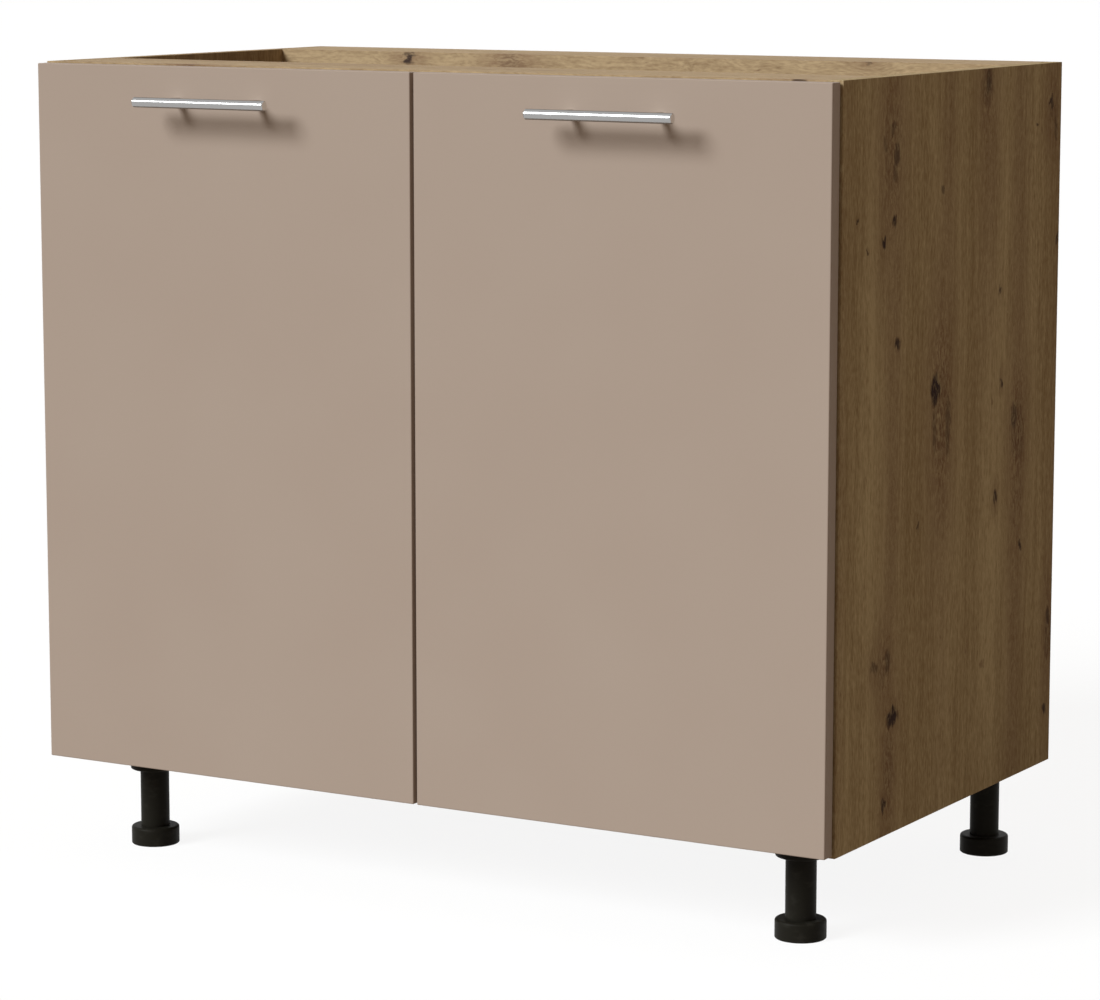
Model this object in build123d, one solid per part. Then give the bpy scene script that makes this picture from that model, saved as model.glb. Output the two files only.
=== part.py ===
from build123d import *
import math
import os

# Kitchen base cabinet with two doors on concealed hinges and four adjustable legs.
# Millimetres. Front is -Y, up is +Z, the origin is on the floor at the middle of the outline.

# Carcass
cabinet_width = 900.0
carcass_height = 720.0
carcass_depth = 500.0
board = 16.0
rail_width = 100.0
back_thickness = 3.0
back_inset = 12.0
groove_depth = 6.0
groove_clearance = 0.2
board_edge_round = 0.5

# Worktop screw holes in the two rails
worktop_hole_radius = 2.5
worktop_hole_spacing = 600.0

# Shelf on pins
shelf_setback = 20.0
shelf_side_clearance = 1.0
shelf_back_clearance = 3.0
pin_radius = 2.5
pin_depth = 9.0
pin_reach = 8.0
pin_collar_radius = 4.0
pin_collar_thickness = 0.8
pin_hole_extra_depth = 1.0
pin_hole_spacing = 32.0
pin_holes_each_side_of_middle = 3
pin_front_setback = 69.0
pin_back_setback = 60.0

# Knock-down joints between boards
dowel_radius = 4.0
dowel_in_side = 10.0
dowel_in_board = 20.0
cam_radius = 7.5
cam_height = 12.0
cam_distance = 24.0
cam_bolt_radius = 3.0
cam_bolt_head_radius = 3.5
cam_bolt_head_length = 2.5
cam_bolt_in_side = 10.0
joint_front_distance = 40.0
joint_rear_distance = 62.0
joint_pitch = 32.0
loose_hole_clearance = 0.1
snug_hole_clearance = 0.05
pressed_hole_clearance = 0.01

# Doors
door_thickness = 16.0
door_gap = 2.0
door_side_reveal = 2.0
door_middle_gap = 4.0
door_top_reveal = 1.5
door_bottom_reveal = 2.5
door_edge_round = 1.0
bumper_radius = 4.0
bumper_clearance = 0.2
bumper_inset = 30.0

# Bar handles
handle_bar_radius = 5.0
handle_bar_length = 156.0
handle_hole_spacing = 96.0
handle_stand_off = 34.0
handle_drop = 34.4
handle_end_chamfer = 0.8
handle_post_radius = 4.0
handle_screw_radius = 2.0
handle_screw_reach = 9.0
handle_screw_head_radius = 4.0
handle_screw_head_height = 2.4

# Concealed hinges: plan places are inward from the cup's middle and forward from the door's back
hinge_end_distance = 100.0
cup_radius = 17.5
cup_depth = 11.5
cup_edge_distance = 5.0
cup_wall = 1.0
cup_floor = 0.8
cup_pocket_half_width = 8.0
cup_flange_thickness = 1.0
cup_flange_radius = 18.0
cup_screw_spacing = 45.0
cup_screw_offset = 9.5
cup_ear_radius = 6.0
cup_ear_round = 5.4
cup_screw_radius = 1.75
cup_screw_length = 9.0
cup_screw_head_radius = 3.2
cup_screw_head_height = 1.2
shallow_cup_pivot = (-13.3, 2.9)
deep_cup_pivot = (-10.6, 6.2)
rear_arm_pivot = (6.9, -11.9)
front_arm_pivot = (11.5, -0.4)
inner_link_knee = (-6.1, 6.3)
outer_link_knee = (-2.0, 8.8)
open_pivot_window_radius = 2.75
open_pivot_window_depth = 2.5
cup_pin_radius = 1.0
arm_pin_radius = 1.25
pin_running_clearance = 0.15
inner_link_half_width = 3.9
inner_link_half_thickness = 1.2
inner_link_cup_eye = 2.2
inner_link_arm_eye = 2.6
outer_link_inner_face = 4.4
outer_link_outer_face = 5.9
outer_link_half_thickness = 1.0
outer_link_cup_eye = 1.7
outer_link_barrel_radius = 2.3
outer_link_stub_radius = 0.9
outer_link_stub_reach = 10.0
arm_cheek_inner_face = 6.3
arm_cheek_thickness = 1.0
arm_web_thickness = 1.4
arm_web_above_rear_pivot = 2.6
arm_cheek_depth = 11.4
arm_tail_setback = 66.0
arm_cheek_front_setback = 14.0
arm_web_front_setback = 4.0
arm_nose_radius = 2.6
arm_screw_setback = 46.0
arm_screw_radius = 2.2
arm_screw_head_radius = 3.6
arm_screw_head_height = 2.0
arm_screw_reach = 9.0
plate_setback = 37.0
plate_wing_length = 48.0
plate_wing_width = 12.0
plate_wing_thickness = 3.0
plate_wing_round = 4.0
plate_ridge_front_setback = 22.0
plate_ridge_rear_setback = 62.0
plate_ridge_half_width = 6.0
plate_screw_spacing = 32.0
plate_screw_radius = 3.0
plate_screw_length = 13.0
plate_screw_head_radius = 4.5
plate_screw_head_height = 1.6

# Adjustable legs
leg_height = 100.0
leg_front_side_inset = 70.0
leg_front_inset = 70.0
leg_rear_side_inset = 60.0
leg_rear_inset = 25.5
leg_flange_radius = 25.0
leg_flange_thickness = 20.0
leg_flange_round = 2.0
leg_column_radius = 15.0
leg_screw_circle_radius = 19.0
leg_screw_count = 4
leg_screw_radius = 1.75
leg_screw_length = 12.0
leg_screw_head_radius = 3.2
leg_screw_head_height = 1.6
leg_screw_seat_thickness = 5.0
leg_screw_pocket_clearance = 0.4
foot_radius = 25.0
foot_height = 19.0
foot_round = 2.5
foot_bottom_chamfer = 0.8
foot_recess_depth = 4.0
foot_running_clearance = 0.3
foot_socket_floor = 4.0
spindle_radius = 5.0
spindle_root_radius = 4.2
spindle_pitch = 4.0
spindle_crest_width = 1.2
spindle_turns = 12
spindle_bore_spare = 3.0

# Places that follow from the sizes above
half_width = cabinet_width / 2
inner_x = half_width - board
total_depth = carcass_depth + door_gap + door_thickness + handle_stand_off + handle_bar_radius
rear_y = total_depth / 2
front_y = rear_y - carcass_depth
door_back_y = front_y - door_gap
door_front_y = door_back_y - door_thickness
bottom_z = leg_height
top_z = bottom_z + carcass_height
floor_z = bottom_z + board
rail_z = top_z - board
middle_z = (floor_z + rail_z) / 2
back_rear_y = rear_y - back_inset
back_front_y = back_rear_y - back_thickness
front_rail_y = front_y + rail_width / 2
rear_rail_y = rear_y - rail_width / 2
door_width = (cabinet_width - 2 * door_side_reveal - door_middle_gap) / 2
door_low_z = bottom_z + door_bottom_reveal
door_high_z = top_z - door_top_reveal
door_middle_x = half_width - door_side_reveal - door_width / 2
handle_z = door_high_z - handle_drop
handle_y = door_front_y - handle_stand_off
hinge_heights = {"upper": door_high_z - hinge_end_distance, "lower": door_low_z + hinge_end_distance}
cup_middle_u = door_side_reveal + cup_edge_distance + cup_radius


def block(x, y, z):
    """A box between two limits on each axis."""
    middle = Pos(sum(x) / 2, sum(y) / 2, sum(z) / 2)
    return middle * Box(abs(x[1] - x[0]), abs(y[1] - y[0]), abs(z[1] - z[0]))


def rod(radius, start, end):
    """A round bar between two points."""
    along = Vector(*end) - Vector(*start)
    low_end = (Align.CENTER, Align.CENTER, Align.MIN)
    return Plane(origin=start, z_dir=along) * Cylinder(radius, along.length, align=low_end)


def strap(points, half_thickness, low, high):
    """A flat bar that follows plan points, with round ends and corners."""
    outline = Sketch()
    for point in points:
        outline += Pos(*point) * Circle(half_thickness)
    for start, end in zip(points, points[1:]):
        along = (Vector(*end) - Vector(*start)).normalized() * half_thickness
        across = Vector(-along.Y, along.X)
        corners = [Vector(*start) + across, Vector(*end) + across]
        corners += [Vector(*end) - across, Vector(*start) - across]
        outline += Polygon(*[(corner.X, corner.Y) for corner in corners], align=None)
    return extrude(Pos(0, 0, low) * outline, amount=high - low, dir=(0, 0, 1))


def save(node, pieces):
    """Write one node; identical pieces share it as separate solids."""
    solids = [solid for piece in pieces for solid in piece.solids()]
    export_step(solids[0] if len(solids) == 1 else Compound(solids), f"parts/{node}.step")


def mirrored(piece):
    """The same piece on the other side of the cabinet."""
    return mirror(piece, about=Plane.YZ)


# Knock-down joints: places along the depth, as (dowel, cam) rows for each board
def rail_rows(rail_middle_y):
    return [rail_middle_y - joint_pitch / 2], [rail_middle_y + joint_pitch / 2]


bottom_cam_rows = [front_y + joint_front_distance, rear_y - joint_rear_distance]
bottom_dowel_rows = [bottom_cam_rows[0] + joint_pitch, bottom_cam_rows[1] - joint_pitch]
board_joints = [
    (bottom_z, bottom_dowel_rows, bottom_cam_rows),
    (rail_z, *rail_rows(front_rail_y)),
    (rail_z, *rail_rows(rear_rail_y)),
]


def joint_pieces():
    """Dowels, cam bolts and cam locks of the left-hand board ends, and the holes they need."""
    dowels, bolts, locks, side_holes, board_holes = [], [], [], [], []
    for low_z, dowel_rows, cam_rows in board_joints:
        z = low_z + board / 2
        for y in dowel_rows:
            start = (-inner_x - dowel_in_side, y, z)
            end = (-inner_x + dowel_in_board, y, z)
            dowels.append(rod(dowel_radius, start, end))
            hole = rod(dowel_radius + snug_hole_clearance, start, end)
            side_holes.append(hole)
            board_holes.append(hole)
        for y in cam_rows:
            cam_x = -inner_x + cam_distance
            start = (-inner_x - cam_bolt_in_side, y, z)
            head_start = (cam_x - cam_bolt_head_length, y, z)
            head_end = (cam_x + cam_bolt_head_length, y, z)
            head = rod(cam_bolt_head_radius, head_start, head_end)
            bolts.append(rod(cam_bolt_radius, start, head_end) + head)
            side_holes.append(rod(cam_bolt_radius + snug_hole_clearance, start, head_end))
            tunnel = rod(cam_bolt_head_radius + loose_hole_clearance, (-inner_x, y, z), head_end)
            board_holes.append(tunnel)
            pocket = rod(cam_radius + loose_hole_clearance, (cam_x, y, low_z), (cam_x, y, low_z + cam_height))
            board_holes.append(pocket)
            locks.append(rod(cam_radius, (cam_x, y, low_z), (cam_x, y, low_z + cam_height)) - tunnel)
    return dowels, bolts, locks, side_holes, board_holes


def both_sides(pieces):
    return pieces + [mirrored(piece) for piece in pieces]


def cut(piece, holes):
    for hole in holes:
        piece -= hole
    return piece


def shelf_pin_holes():
    holes = []
    steps = range(-pin_holes_each_side_of_middle, pin_holes_each_side_of_middle + 1)
    for y in (front_y + pin_front_setback, back_front_y - pin_back_setback):
        for step in steps:
            z = middle_z + step * pin_hole_spacing
            depth = pin_depth + pin_hole_extra_depth
            holes.append(rod(pin_radius + snug_hole_clearance, (-inner_x - depth, y, z), (-inner_x, y, z)))
    return holes


def back_groove_y():
    return (back_front_y - groove_clearance, back_rear_y + groove_clearance)


def rounded_board(x, y, z, radius):
    board_solid = block(x, y, z)
    return fillet(board_solid.edges(), radius)


# Hinge pieces, left-hand, drawn about the carcass front corner: X inward, -Y forward, Z up
def plan(place):
    """A hinge place turned into X and Y of the hinge drawing."""
    return (cup_middle_u + place[0], -(door_gap + place[1]))


def upright(place, radius, low, high):
    x, y = plan(place)
    return rod(radius, (x, y, low), (x, y, high))


arm_web_low_u = cup_middle_u + rear_arm_pivot[0] + arm_web_above_rear_pivot
arm_web_high_u = arm_web_low_u + arm_web_thickness
arm_outer_face = arm_cheek_inner_face + arm_cheek_thickness


def arm_screw_place(u):
    return (u, arm_screw_setback, 0)


def hinge_plate():
    wing_y = (plate_setback - plate_wing_width / 2, plate_setback + plate_wing_width / 2)
    wing_z = (-plate_wing_length / 2, plate_wing_length / 2)
    wing = block((board, board + plate_wing_thickness), wing_y, wing_z)
    wing = fillet(wing.edges().filter_by(Axis.X), plate_wing_round)
    ridge_y = (plate_ridge_front_setback, plate_ridge_rear_setback)
    ridge_z = (-plate_ridge_half_width, plate_ridge_half_width)
    plate = wing + block((board, arm_web_low_u), ridge_y, ridge_z)
    plate -= rod(arm_screw_radius + snug_hole_clearance, arm_screw_place(arm_web_low_u - arm_screw_reach),
                 arm_screw_place(arm_web_low_u))
    return cut(plate, plate_screw_holes())


def plate_screw_places():
    return [(plate_setback, side * plate_screw_spacing / 2) for side in (-1, 1)]


def plate_screw_holes():
    """Holes for the hinge plate's screws, through the plate and into the side."""
    radius = plate_screw_radius + snug_hole_clearance
    start = board + plate_wing_thickness - plate_screw_length
    return [rod(radius, (start, y, z), (board + plate_wing_thickness, y, z)) for y, z in plate_screw_places()]


def plate_screws():
    head_u = board + plate_wing_thickness
    screws = []
    for y, z in plate_screw_places():
        shank = rod(plate_screw_radius, (head_u - plate_screw_length, y, z), (head_u, y, z))
        head = rod(plate_screw_head_radius, (head_u, y, z), (head_u + plate_screw_head_height, y, z))
        screws.append(shank + head)
    return screws


def hinge_arm():
    web_y = (arm_web_front_setback, arm_tail_setback)
    arm = block((arm_web_low_u, arm_web_high_u), web_y, (-arm_outer_face, arm_outer_face))
    for side in (-1, 1):
        faces = sorted((side * arm_cheek_inner_face, side * arm_outer_face))
        cheek_u = (arm_web_high_u - arm_cheek_depth, arm_web_high_u)
        arm += block(cheek_u, (arm_cheek_front_setback, arm_tail_setback), faces)
        neck = (arm_web_high_u - arm_nose_radius, arm_cheek_front_setback)
        arm += strap([neck, plan(rear_arm_pivot), plan(front_arm_pivot)], arm_nose_radius, *faces)
        web_front = (arm_web_high_u - arm_nose_radius, arm_web_front_setback)
        arm += strap([neck, web_front, plan(front_arm_pivot)], arm_nose_radius, *faces)
    for pivot in (rear_arm_pivot, front_arm_pivot):
        arm -= upright(pivot, arm_pin_radius + pressed_hole_clearance, -arm_outer_face, arm_outer_face)
    web_faces = (arm_screw_place(arm_web_low_u), arm_screw_place(arm_web_high_u))
    return arm - rod(arm_screw_radius + loose_hole_clearance, *web_faces)


def arm_screw():
    shank_start = arm_screw_place(arm_web_low_u - arm_screw_reach)
    shank = rod(arm_screw_radius, shank_start, arm_screw_place(arm_web_high_u))
    head_end = arm_screw_place(arm_web_high_u + arm_screw_head_height)
    return shank + rod(arm_screw_head_radius, arm_screw_place(arm_web_high_u), head_end)


def arm_pins():
    return [upright(pivot, arm_pin_radius, -arm_outer_face, arm_outer_face)
            for pivot in (rear_arm_pivot, front_arm_pivot)]


def inner_link():
    wide = (-inner_link_half_width, inner_link_half_width)
    path = [plan(shallow_cup_pivot), plan(inner_link_knee), plan(rear_arm_pivot)]
    link = strap(path, inner_link_half_thickness, *wide)
    link += upright(shallow_cup_pivot, inner_link_cup_eye, *wide)
    link += upright(rear_arm_pivot, inner_link_arm_eye, *wide)
    link -= upright(shallow_cup_pivot, cup_pin_radius + pin_running_clearance, *wide)
    link -= upright(rear_arm_pivot, arm_pin_radius + pin_running_clearance, *wide)
    return link


def outer_link():
    path = [plan(deep_cup_pivot), plan(outer_link_knee), plan(front_arm_pivot)]
    link = upright(front_arm_pivot, outer_link_barrel_radius, -outer_link_outer_face, outer_link_outer_face)
    for side in (-1, 1):
        faces = sorted((side * outer_link_inner_face, side * outer_link_outer_face))
        link += strap(path, outer_link_half_thickness, *faces)
        link += upright(deep_cup_pivot, outer_link_cup_eye, *faces)
        stub = sorted((side * outer_link_inner_face, side * outer_link_stub_reach))
        link += upright(deep_cup_pivot, outer_link_stub_radius, *stub)
    bore = arm_pin_radius + pin_running_clearance
    return link - upright(front_arm_pivot, bore, -outer_link_outer_face, outer_link_outer_face)


def cup_screw_places():
    return [(cup_middle_u + cup_screw_offset, side * cup_screw_spacing / 2) for side in (-1, 1)]


def forward(x, z, start, end, radius):
    """A round bar square to the door, between two distances in front of the door's back."""
    return rod(radius, (x, -(door_gap + start), z), (x, -(door_gap + end), z))


def hinge_cup():
    cup = forward(cup_middle_u, 0, 0, cup_depth, cup_radius)
    flange = forward(cup_middle_u, 0, -cup_flange_thickness, 0, cup_flange_radius)
    ear_z = cup_screw_spacing / 2 + cup_ear_radius
    screw_u = cup_middle_u + cup_screw_offset
    ear_u = (screw_u - cup_ear_radius, screw_u + cup_ear_radius)
    ears = block(ear_u, (-door_gap, -door_gap + cup_flange_thickness), (-ear_z, ear_z))
    flange += fillet(ears.edges().filter_by(Axis.Y), cup_ear_round)
    pocket_depth = cup_depth - cup_floor
    pocket_round = forward(cup_middle_u, 0, -cup_flange_thickness, pocket_depth, cup_radius - cup_wall)
    pocket_y = (-door_gap + cup_flange_thickness, -(door_gap + pocket_depth))
    pocket_u = (cup_middle_u - cup_radius, cup_middle_u + cup_radius)
    pocket_z = (-cup_pocket_half_width, cup_pocket_half_width)
    cup = cup + flange - (pocket_round & block(pocket_u, pocket_y, pocket_z))
    cup -= upright(shallow_cup_pivot, cup_pin_radius + pressed_hole_clearance, *cup_pin_ends())
    window = cup_pocket_half_width + open_pivot_window_depth
    cup -= upright(deep_cup_pivot, open_pivot_window_radius, -window, window)
    for x, z in cup_screw_places():
        cup -= forward(x, z, -cup_flange_thickness, 0, cup_screw_radius + snug_hole_clearance)
    return cup


def cup_pin_ends():
    reach = cup_pocket_half_width + open_pivot_window_depth / 2
    return -reach, reach


def cup_pin():
    return upright(shallow_cup_pivot, cup_pin_radius, *cup_pin_ends())


def cup_screws():
    screws = []
    for x, z in cup_screw_places():
        shank = forward(x, z, -cup_flange_thickness, cup_screw_length, cup_screw_radius)
        head_start = -cup_flange_thickness - cup_screw_head_height
        screws.append(shank + forward(x, z, head_start, -cup_flange_thickness, cup_screw_head_radius))
    return screws


def cup_bores():
    bores = [forward(cup_middle_u, 0, 0, cup_depth + loose_hole_clearance, cup_radius + loose_hole_clearance)]
    for x, z in cup_screw_places():
        bores.append(forward(x, z, 0, cup_screw_length, cup_screw_radius + snug_hole_clearance))
    return bores


def at_hinge(piece, height):
    return Pos(-half_width, front_y, hinge_heights[height]) * piece


def left_hinges(pieces):
    """The same hinge pieces at every hinge height of the left side."""
    return [at_hinge(piece, height) for height in hinge_heights for piece in pieces]


def build_carcass():
    dowels, bolts, locks, side_holes, board_holes = joint_pieces()
    save("dowels", both_sides(dowels))
    save("cam_bolts", both_sides(bolts))
    save("cam_locks", both_sides(locks))

    side = rounded_board((-half_width, -inner_x), (front_y, rear_y), (bottom_z, top_z), board_edge_round)
    groove_z = (floor_z - groove_depth, rail_z + groove_depth)
    side -= block((-inner_x - groove_depth, -inner_x), back_groove_y(), groove_z)
    side = cut(side, side_holes + shelf_pin_holes() + left_hinges(plate_screw_holes()))
    save("side_panel_left", [side])
    save("side_panel_right", [mirrored(side)])

    bottom = block((-inner_x, inner_x), (front_y, rear_y), (bottom_z, floor_z))
    bottom -= block((-inner_x, inner_x), back_groove_y(), (floor_z - groove_depth, floor_z))
    bottom = cut(bottom, both_sides(board_holes) + leg_screw_holes())
    save("bottom_panel", [bottom])

    worktop_holes = []
    for y in (front_rail_y, rear_rail_y):
        for x in (-worktop_hole_spacing / 2, worktop_hole_spacing / 2):
            worktop_holes.append(rod(worktop_hole_radius, (x, y, rail_z), (x, y, top_z)))
    for node, y in (("front_rail", front_rail_y), ("rear_rail", rear_rail_y)):
        rail = block((-inner_x, inner_x), (y - rail_width / 2, y + rail_width / 2), (rail_z, top_z))
        rail -= block((-inner_x, inner_x), back_groove_y(), (rail_z, rail_z + groove_depth))
        save(node, [cut(rail, both_sides(board_holes) + worktop_holes)])

    back_reach = groove_depth - 2 * groove_clearance
    back_x = (-inner_x - back_reach, inner_x + back_reach)
    back_z = (floor_z - back_reach, rail_z + back_reach)
    save("back_panel", [block(back_x, (back_front_y, back_rear_y), back_z)])


def build_shelf():
    pins = []
    for y in (front_y + pin_front_setback, back_front_y - pin_back_setback):
        peg = rod(pin_radius, (-inner_x - pin_depth, y, middle_z), (-inner_x + pin_reach, y, middle_z))
        collar_end = (-inner_x + pin_collar_thickness, y, middle_z)
        pins.append(peg + rod(pin_collar_radius, (-inner_x, y, middle_z), collar_end))
    save("shelf_pins", both_sides(pins))
    shelf_x = inner_x - shelf_side_clearance
    shelf_y = (front_y + shelf_setback, back_front_y - shelf_back_clearance)
    shelf_low = middle_z + pin_radius
    shelf = rounded_board((-shelf_x, shelf_x), shelf_y, (shelf_low, shelf_low + board), board_edge_round)
    save("shelf", [shelf])


def build_hinges():
    plates = left_hinges([hinge_plate()])
    save("hinge_plates_left", plates)
    save("hinge_plates_right", [mirrored(plate) for plate in plates])
    save("hinge_plate_screws", both_sides(left_hinges(plate_screws())))
    save("hinge_arm_screws", both_sides(left_hinges([arm_screw()])))
    save("hinge_arm_pins", both_sides(left_hinges(arm_pins())))
    drawings = {
        "hinge_arm": hinge_arm(),
        "inner_link": inner_link(),
        "outer_link": outer_link(),
        "hinge_cup": hinge_cup(),
    }
    for name, drawn in drawings.items():
        for height in hinge_heights:
            piece = at_hinge(drawn, height)
            save(f"{name}_{height}_left", [piece])
            save(f"{name}_{height}_right", [mirrored(piece)])


def handle_places():
    return [-door_middle_x + side * handle_hole_spacing / 2 for side in (-1, 1)]


def build_doors():
    """The left door with its fittings, and the right door as its mirror image."""
    door_x = (-door_middle_x - door_width / 2, -door_middle_x + door_width / 2)
    door = rounded_board(door_x, (door_front_y, door_back_y), (door_low_z, door_high_z), door_edge_round)
    door = cut(door, left_hinges(cup_bores()))

    bar_start = (-door_middle_x - handle_bar_length / 2, handle_y, handle_z)
    bar_end = (-door_middle_x + handle_bar_length / 2, handle_y, handle_z)
    plain_bar = rod(handle_bar_radius, bar_start, bar_end)
    bar = chamfer(plain_bar.edges().filter_by(GeomType.CIRCLE), handle_end_chamfer)

    posts, screws = [], []
    for x in handle_places():
        back = (x, door_back_y, handle_z)
        tip = (x, door_front_y - handle_screw_reach, handle_z)
        door -= rod(handle_screw_radius + loose_hole_clearance, back, (x, door_front_y, handle_z))
        post = rod(handle_post_radius, (x, door_front_y, handle_z), (x, handle_y, handle_z)) - plain_bar
        posts.append(post - rod(handle_screw_radius + snug_hole_clearance, back, tip))
        head = rod(handle_screw_head_radius, (x, door_back_y + handle_screw_head_height, handle_z), back)
        screws.append(rod(handle_screw_radius, back, tip) + head)

    bumper_y = (door_back_y, front_y - bumper_clearance)
    bumper_x = -door_middle_x + door_width / 2 - bumper_inset
    bumpers = []
    for z in (bottom_z + board / 2, top_z - board / 2):
        bumpers.append(rod(bumper_radius, (bumper_x, bumper_y[0], z), (bumper_x, bumper_y[1], z)))

    left = {
        "door": [door],
        "handle_bar": [bar],
        "handle_posts": posts,
        "handle_screws": screws,
        "door_bumpers": bumpers,
        "cup_screws": left_hinges(cup_screws()),
        "cup_pins": left_hinges([cup_pin()]),
    }
    for name, pieces in left.items():
        save(f"{name}_left", pieces)
        save(f"{name}_right", [mirrored(piece) for piece in pieces])


leg_places = {
    "front_left": (-half_width + leg_front_side_inset, front_y + leg_front_inset),
    "front_right": (half_width - leg_front_side_inset, front_y + leg_front_inset),
    "rear_left": (-half_width + leg_rear_side_inset, rear_y - leg_rear_inset),
    "rear_right": (half_width - leg_rear_side_inset, rear_y - leg_rear_inset),
}
flange_low_z = bottom_z - leg_flange_thickness
screw_seat_z = bottom_z - leg_screw_seat_thickness
screw_tip_z = screw_seat_z + leg_screw_length
foot_recess_z = foot_height - foot_recess_depth
column_low_z = foot_recess_z + foot_running_clearance
spindle_low_z = foot_socket_floor + foot_running_clearance
spindle_high_z = spindle_low_z + spindle_turns * spindle_pitch
spindle_bore_radius = spindle_radius + foot_running_clearance


def leg_screw_places():
    """Screw places round each leg, on the diagonals."""
    places = []
    for x, y in leg_places.values():
        for number in range(leg_screw_count):
            angle = math.tau * (number + 0.5) / leg_screw_count
            places.append((x + leg_screw_circle_radius * math.cos(angle),
                           y + leg_screw_circle_radius * math.sin(angle)))
    return places


def leg_screw_holes():
    radius = leg_screw_radius + snug_hole_clearance
    return [rod(radius, (x, y, screw_seat_z), (x, y, screw_tip_z)) for x, y in leg_screw_places()]


def leg_screw_pockets():
    """Wells in the underside of each flange that let a screw's head up to its seat."""
    radius = leg_screw_head_radius + leg_screw_pocket_clearance
    return [rod(radius, (x, y, flange_low_z), (x, y, screw_seat_z)) for x, y in leg_screw_places()]


def leg_screws():
    screws = []
    for x, y in leg_screw_places():
        shank = rod(leg_screw_radius, (x, y, screw_seat_z), (x, y, screw_tip_z))
        head = rod(leg_screw_head_radius, (x, y, screw_seat_z - leg_screw_head_height), (x, y, screw_seat_z))
        screws.append(shank + head)
    return screws


def leg_column():
    flange = rod(leg_flange_radius, (0, 0, flange_low_z), (0, 0, bottom_z))
    flange = fillet(flange.edges().group_by(Axis.Z)[0], leg_flange_round)
    column = flange + rod(leg_column_radius, (0, 0, column_low_z), (0, 0, bottom_z))
    bore_top = (0, 0, spindle_high_z + spindle_bore_spare)
    return column - rod(spindle_bore_radius, (0, 0, column_low_z), bore_top)


def foot_pad():
    pad = rod(foot_radius, (0, 0, 0), (0, 0, foot_height))
    pad = fillet(pad.edges().group_by(Axis.Z)[-1], foot_round)
    pad = chamfer(pad.edges().group_by(Axis.Z)[0], foot_bottom_chamfer)
    pad -= rod(leg_column_radius + foot_running_clearance, (0, 0, foot_recess_z), (0, 0, foot_height))
    return pad - rod(spindle_bore_radius, (0, 0, foot_socket_floor), (0, 0, foot_height))


def foot_spindle():
    """A spindle with a rounded coarse thread, drawn as rings."""
    outline = [(0, spindle_low_z), (spindle_root_radius, spindle_low_z)]
    for turn in range(spindle_turns):
        ring_z = spindle_low_z + turn * spindle_pitch
        outline.append((spindle_radius, ring_z + (spindle_pitch - spindle_crest_width) / 2))
        outline.append((spindle_radius, ring_z + (spindle_pitch + spindle_crest_width) / 2))
        outline.append((spindle_root_radius, ring_z + spindle_pitch))
    outline.append((0, spindle_high_z))
    face = make_face(Plane.XZ * Polyline(*outline, close=True))
    return revolve(face, Axis.Z)


def build_legs():
    column, pad, spindle = leg_column(), foot_pad(), foot_spindle()
    holes = leg_screw_holes() + leg_screw_pockets()
    for corner, (x, y) in leg_places.items():
        save(f"leg_column_{corner}", [cut(Pos(x, y, 0) * column, holes)])
        save(f"foot_pad_{corner}", [Pos(x, y, 0) * pad])
        save(f"foot_spindle_{corner}", [Pos(x, y, 0) * spindle])
    save("leg_flange_screws", leg_screws())


os.makedirs("parts", exist_ok=True)
build_carcass()
build_shelf()
build_hinges()
build_doors()
build_legs()
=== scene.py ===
import math

import bmesh
import bpy
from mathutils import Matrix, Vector


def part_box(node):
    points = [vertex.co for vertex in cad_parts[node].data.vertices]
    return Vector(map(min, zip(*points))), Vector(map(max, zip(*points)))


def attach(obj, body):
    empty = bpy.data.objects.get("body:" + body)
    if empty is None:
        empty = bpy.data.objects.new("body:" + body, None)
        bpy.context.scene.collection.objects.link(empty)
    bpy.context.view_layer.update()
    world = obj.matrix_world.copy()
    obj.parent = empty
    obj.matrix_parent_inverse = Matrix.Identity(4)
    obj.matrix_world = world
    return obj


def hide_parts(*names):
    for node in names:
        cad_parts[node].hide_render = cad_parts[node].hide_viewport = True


# Kitchen base cabinet: oak boards, matt doors, steel fittings. Metres; the front faces -Y and up is +Z.
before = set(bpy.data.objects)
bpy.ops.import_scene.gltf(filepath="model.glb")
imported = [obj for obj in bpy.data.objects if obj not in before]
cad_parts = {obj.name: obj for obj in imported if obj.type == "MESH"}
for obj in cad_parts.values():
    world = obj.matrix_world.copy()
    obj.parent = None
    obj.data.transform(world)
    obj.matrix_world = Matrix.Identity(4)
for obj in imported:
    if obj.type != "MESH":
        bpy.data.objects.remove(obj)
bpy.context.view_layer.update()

SIDES = ("left", "right")
LEVELS = ("upper", "lower")
CORNERS = ("front_left", "front_right", "rear_left", "rear_right")
MM = 1000.0

# Colours as they look in plain light, red, green and blue out of 255; a pair is light and dark
TAUPE = ((172, 155, 142), (169, 151, 138))
OAK = ((189, 163, 126), (150, 124, 92))
# Oak of the right side, paler and yellower than the other boards: a painted shade tint, set for how that
# side looks in shade
SHADE_TINTED_OAK = ((198, 178, 140), (152, 128, 93))
OAK_STAIN = (126, 95, 71)
OAK_KNOT = (54, 38, 33)
OAK_PORE = (118, 97, 68)
SEAM = (54, 38, 33)
BEECH = ((206, 176, 136), (178, 143, 102))
HARDBOARD = ((206, 184, 152), (176, 150, 118))
BAR_STEEL = ((168, 167, 166), (158, 157, 156))
BAR_END = (232, 230, 227)
POST_STEEL = ((208, 206, 202), (190, 188, 184))
NICKEL = ((196, 192, 184), (160, 156, 149))
ZINC = ((176, 178, 180), (134, 137, 141))
BLACK_PLASTIC = ((43, 41, 36), (31, 29, 24))
SOFT_PLASTIC = ((214, 211, 203), (190, 187, 178))

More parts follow.
